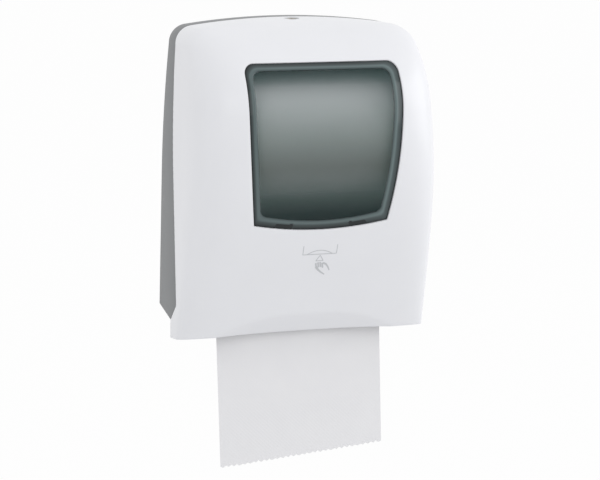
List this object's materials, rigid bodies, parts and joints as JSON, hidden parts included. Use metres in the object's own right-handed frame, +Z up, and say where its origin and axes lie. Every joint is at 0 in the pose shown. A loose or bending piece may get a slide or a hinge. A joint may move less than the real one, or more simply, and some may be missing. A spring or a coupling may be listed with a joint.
{
  "type": "roll towel dispenser",
  "caption": "Wall-hung roll towel dispenser with a smoked window, a hinged bulging cover and a towel-driven drum whose knife cuts each sheet as it is pulled.",
  "frame": {"origin": "centre of the four wall screw holes, in the plane of the wall", "axes": "+X to the right seen from the front, +Y into the wall, +Z up"},
  "size_m": [0.301, 0.1872, 0.521],
  "materials": {
    "grey_abs": "moulded satin",
    "white_abs": "moulded gloss",
    "smoked_pane": "smoked clear",
    "paper": "embossed tissue",
    "card": "raw card",
    "zinc": "die cast",
    "brass": "turned",
    "rubber": "matt",
    "black_abs": "moulded satin",
    "steel": "zinc plated"
  },
  "bodies": {
    "housing": {"back_housing": "grey_abs", "left_side_plate": "steel", "right_side_plate": "steel", "left_bearing": "brass", "right_bearing": "brass", "rear_tie_bar": "steel", "guide_bar": "steel", "exit_guide": "black_abs", "left_cam": "black_abs", "right_cam": "black_abs", "spring_case": "black_abs", "return_spring": "steel", "pressure_pivot_rod": "steel", "left_roll_arm": "black_abs", "left_roll_hub": "white_abs", "arm_bracket": "black_abs", "arm_pivot_pin": "steel", "chassis_screws": "steel", "hinge_pins": "steel", "lock_keeper": "grey_abs", "towel_web": "paper"},
    "cover": {"front_cover": "white_abs", "window_pane": "smoked_pane", "hinge_straps": "white_abs", "lock_body": "zinc"},
    "lock": {"lock_plug": "brass", "lock_cam": "steel"},
    "drum": {"drum_shell": "black_abs", "drum_shaft": "steel", "left_end_cap": "black_abs", "right_end_cap": "black_abs", "feed_knob": "black_abs"},
    "knife": {"knife_pivot_rod": "steel", "knife_carrier": "black_abs", "knife_blade": "steel", "follower_levers": "steel", "follower_rollers": "white_abs"},
    "roll": {"towel_roll": "paper", "roll_core": "card"},
    "roll_arm": {"right_roll_arm": "black_abs", "right_roll_hub": "white_abs"},
    "pressure_arms": {"left_pressure_arm": "black_abs", "right_pressure_arm": "black_abs", "arm_springs": "steel"},
    "pressure_roller": {"roller_shaft": "steel", "roller_sleeves": "rubber"},
    "towel": {"towel_tail": "paper"}
  },
  "joints": [
    {"name": "cover_hinge", "type": "hinge", "parent": "housing", "child": "cover", "pos_m": [0, -0.061, -0.227], "axis": [1, 0, 0], "range_deg": [0, 95], "deforming": ["towel_tail"]},
    {"name": "lock_turn", "type": "hinge", "parent": "cover", "child": "lock", "pos_m": [0, -0.048, 0.115], "axis": [0, 0, -1], "range_deg": [0, 90]},
    {"name": "drum_turn", "type": "hinge", "parent": "housing", "child": "drum", "pos_m": [0, -0.04, -0.16], "axis": [1, 0, 0], "range_deg": [0, 160], "stiffness_Nm_per_rad": 0.2},
    {"name": "knife_swing", "type": "hinge", "parent": "drum", "child": "knife", "pos_m": [0, -0.01778, -0.1576], "axis": [-1, 0, 0], "range_deg": [0, 36]},
    {"name": "roll_turn", "type": "hinge", "parent": "housing", "child": "roll", "pos_m": [0, -0.095, 0], "axis": [1, 0, 0], "continuous": true},
    {"name": "roll_arm_swing", "type": "hinge", "parent": "housing", "child": "roll_arm", "pos_m": [0.109, -0.0125, 0], "axis": [0, 0, 1], "range_deg": [0, 12]},
    {"name": "pressure_lift", "type": "hinge", "parent": "housing", "child": "pressure_arms", "pos_m": [0, -0.0961, -0.123], "axis": [-1, 0, 0], "range_deg": [0, 8], "stiffness_Nm_per_rad": 0.3, "springref_deg": -17.19},
    {"name": "roller_turn", "type": "hinge", "parent": "pressure_arms", "child": "pressure_roller", "pos_m": [0, -0.0841, -0.16], "axis": [1, 0, 0], "continuous": true},
    {"name": "towel_pull", "type": "slide", "parent": "housing", "child": "towel", "axis": [0, 0, -1], "range_m": [0, 0.096]}
  ],
  "couplings": [
    {"joint": "knife_swing", "follows": "drum_turn", "ratio": 0.22},
    {"joint": "roll_turn", "follows": "drum_turn", "ratio": 0.425},
    {"joint": "roller_turn", "follows": "drum_turn", "ratio": -4.25},
    {"joint": "towel_pull", "follows": "drum_turn", "m_per_rad": 0.034}
  ]
}
